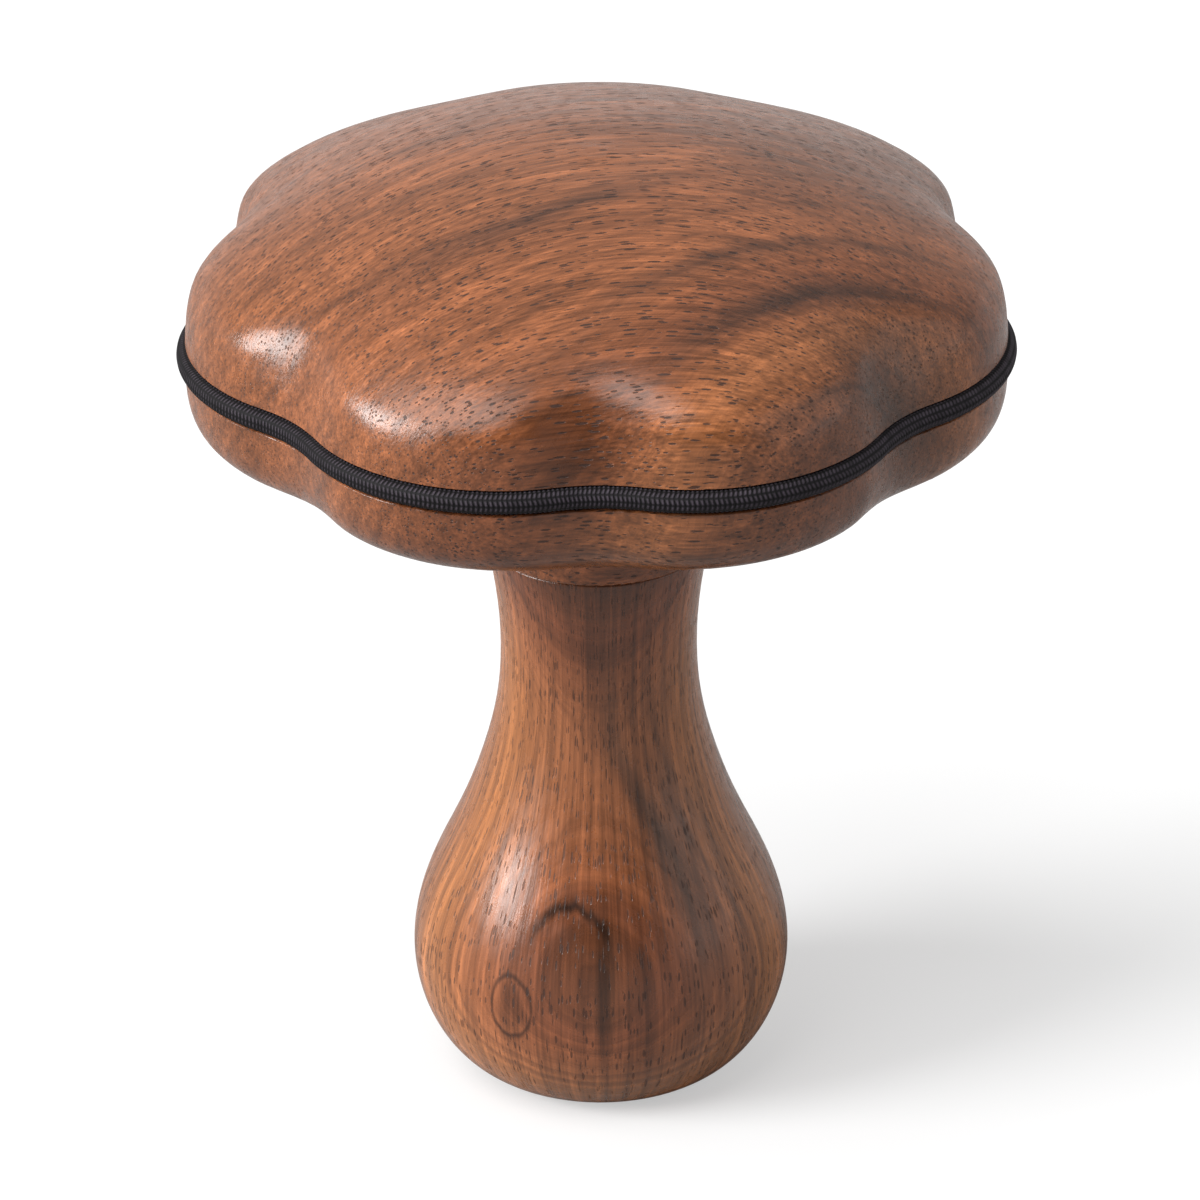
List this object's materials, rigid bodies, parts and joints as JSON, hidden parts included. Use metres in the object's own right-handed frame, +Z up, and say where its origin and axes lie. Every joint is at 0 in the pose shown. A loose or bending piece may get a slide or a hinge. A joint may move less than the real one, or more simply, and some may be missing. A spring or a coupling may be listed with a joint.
{
  "type": "darning mushroom",
  "caption": "Wooden darning mushroom: domed cap with rounded lobes, an elastic loop in a rim groove and a turned bulb handle.",
  "frame": {"origin": "centre of the handle's flat base, which the mushroom stands on", "axes": "+Z up along the handle's turning axis, -Y towards the valley between two lobes that faces the camera, +X to the right"},
  "size_m": [0.0772, 0.0764, 0.0934],
  "materials": {
    "walnut_cap": "satin oil",
    "walnut_handle": "satin oil",
    "plated_steel": "zinc plated",
    "brass": "machined",
    "latex": "matte",
    "black_braid": "braided, matte",
    "black_sleeve": "heat-shrunk tube, satin"
  },
  "bodies": {
    "handle": {"handle": "walnut_handle", "stud": "plated_steel"},
    "cap": {"cap": "walnut_cap", "threaded_insert": "brass"},
    "elastic": {"elastic_core": "latex", "elastic_sheath": "black_braid", "elastic_join_sleeve": "black_sleeve"}
  },
  "joints": [
    {"name": "cap_lift", "type": "slide", "parent": "handle", "child": "cap", "axis": [0, 0, 1], "range_m": [0, 0.03]},
    {"name": "elastic_lift", "type": "slide", "parent": "cap", "child": "elastic", "axis": [0, 0, 1], "range_m": [0, 0.025], "deforming": ["elastic_core", "elastic_sheath", "elastic_join_sleeve"]}
  ]
}
